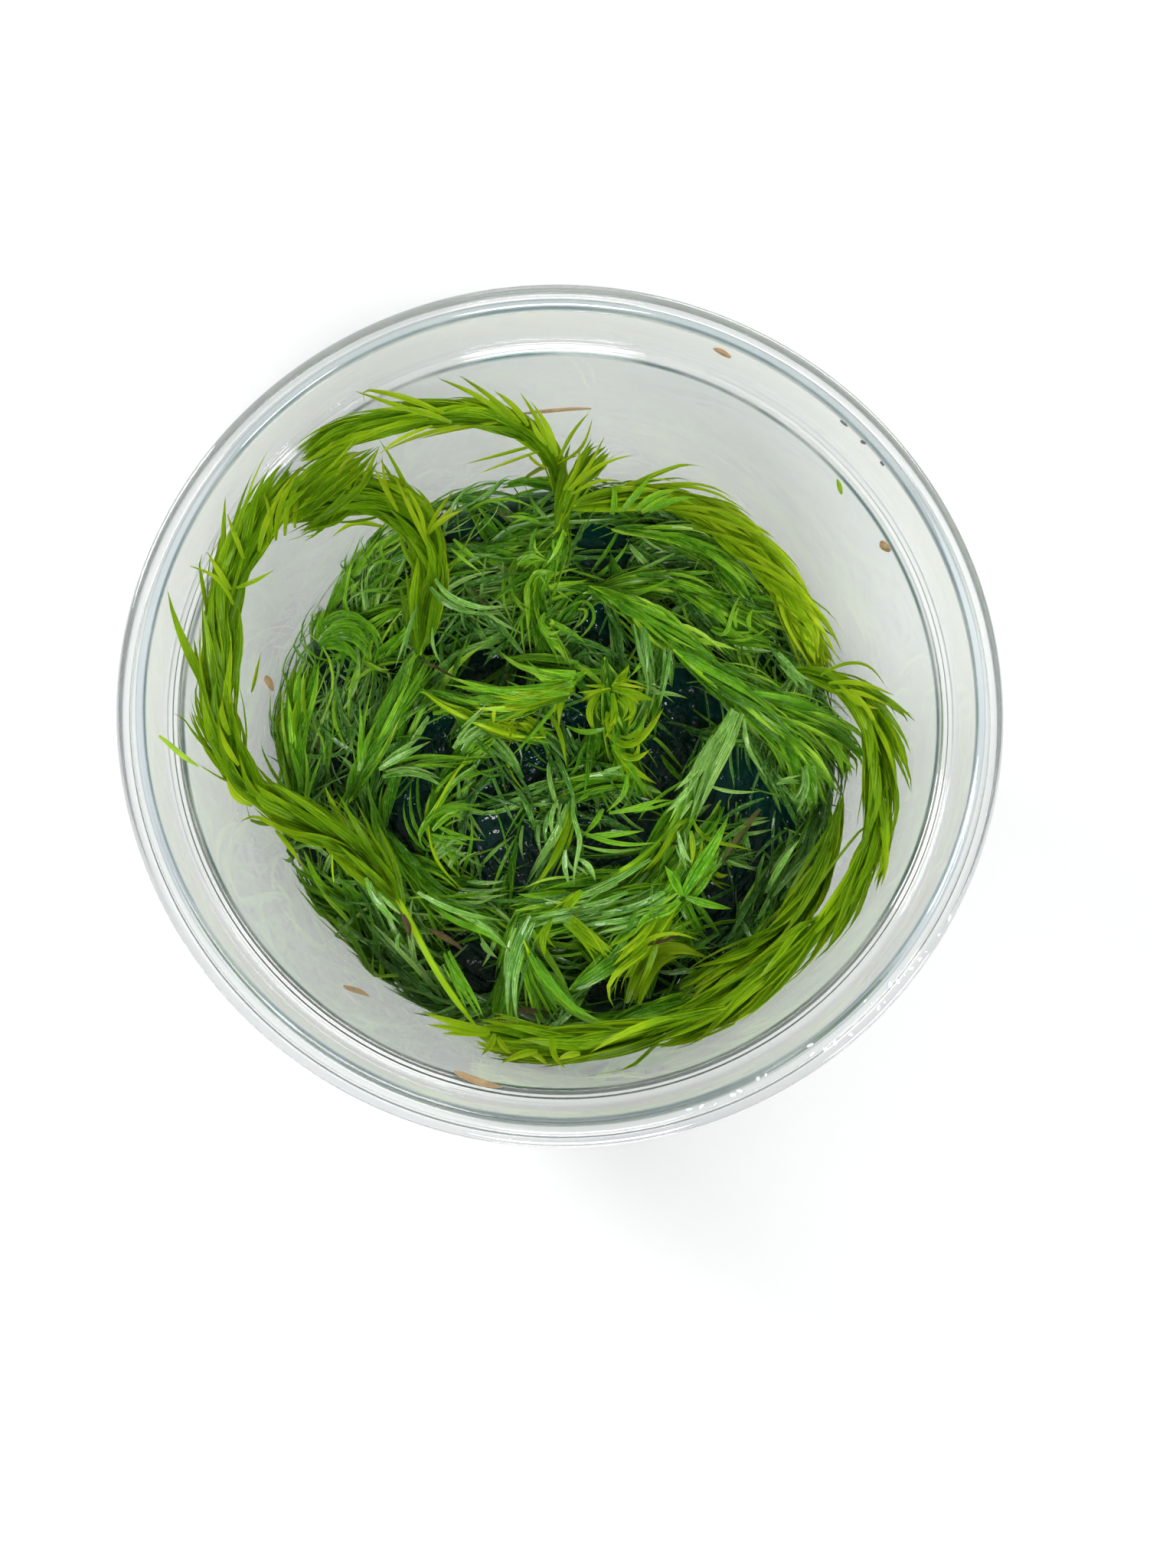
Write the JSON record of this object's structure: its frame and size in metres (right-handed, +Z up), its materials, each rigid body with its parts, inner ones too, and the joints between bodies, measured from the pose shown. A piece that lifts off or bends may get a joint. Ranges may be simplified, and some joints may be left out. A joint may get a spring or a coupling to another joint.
{
  "type": "stream bogmoss in a tissue-culture cup",
  "caption": "Clear round plastic cup with a stepped rim, dark gel in its base and a nest of green leafy bogmoss shoots coiled round its wall.",
  "frame": {"origin": "under the middle of the cup's base, on the plane that it stands on", "axes": "+Z up along the cup's axis, +Y away from the viewer of the reference view, +X to that viewer's right"},
  "size_m": [0.1, 0.1, 0.048],
  "materials": {
    "clear_cup": "clear colourless polypropylene, smooth and glossy",
    "dark_gel": "wet blue-black gel, glossy and slightly lumpy",
    "leaf_bright": "wet yellow-green leaves, thin enough to let light through",
    "leaf_deep": "wet mid-green leaves with fine lengthwise lines",
    "leaf_wet": "soaked dark grey-green leaves lying on the gel",
    "dead_leaf": "dry brown leaf scraps"
  },
  "bodies": {
    "root": {"cup": "clear_cup", "gel": "dark_gel", "shoot_low_left_outer": "leaf_wet", "shoot_low_left_inner": "leaf_wet", "shoot_low_back_left": "leaf_wet", "shoot_low_centre_left": "leaf_wet", "shoot_low_front_left": "leaf_wet", "shoot_low_front_inner": "leaf_wet", "shoot_low_front": "leaf_wet", "shoot_low_front_right": "leaf_wet", "shoot_low_right": "leaf_wet", "shoot_low_back_right": "leaf_wet", "shoot_low_centre": "leaf_wet", "shoot_low_fork": "leaf_wet", "shoot_low_right_inner": "leaf_wet", "shoot_low_pale": "leaf_wet", "shoot_low_left_middle": "leaf_wet", "shoot_low_inner_front": "leaf_wet", "shoot_low_back": "leaf_wet", "shoot_left_tuft": "leaf_deep", "shoot_left_curl": "leaf_deep", "shoot_left_bundle": "leaf_deep", "shoot_left_fringe": "leaf_deep", "shoot_front_left": "leaf_deep", "shoot_back_column": "leaf_deep", "shoot_bright_left": "leaf_deep", "shoot_right_fan": "leaf_deep", "shoot_pale_centre": "leaf_deep", "shoot_front_arch": "leaf_deep", "shoot_front_drop": "leaf_deep", "shoot_back_right": "leaf_deep", "shoot_front_cross": "leaf_deep", "shoot_centre_spray": "leaf_deep", "shoot_left_spray": "leaf_deep", "shoot_diagonal": "leaf_deep", "shoot_diagonal_inner": "leaf_deep", "shoot_inner_front": "leaf_deep", "shoot_inner_pair": "leaf_deep", "shoot_long_strand": "leaf_deep", "shoot_star": "leaf_deep", "shoot_loop_inner_right": "leaf_bright", "shoot_edge_right": "leaf_bright", "shoot_loop_right": "leaf_bright", "shoot_loop_front": "leaf_bright", "shoot_arc_left": "leaf_bright", "shoot_loop_left": "leaf_bright", "shoot_arc_back": "leaf_bright", "shoot_tuft_back": "leaf_bright", "dead_leaf_long": "dead_leaf", "dead_leaf_short": "dead_leaf", "dead_scrap_seat": "dead_leaf", "dead_scrap_right": "dead_leaf", "dead_husk": "dead_leaf", "dead_sliver_front": "dead_leaf", "dead_strip_front": "dead_leaf", "green_scrap_right": "leaf_bright", "loose_leaf_left": "leaf_bright"}
  },
  "joints": []
}
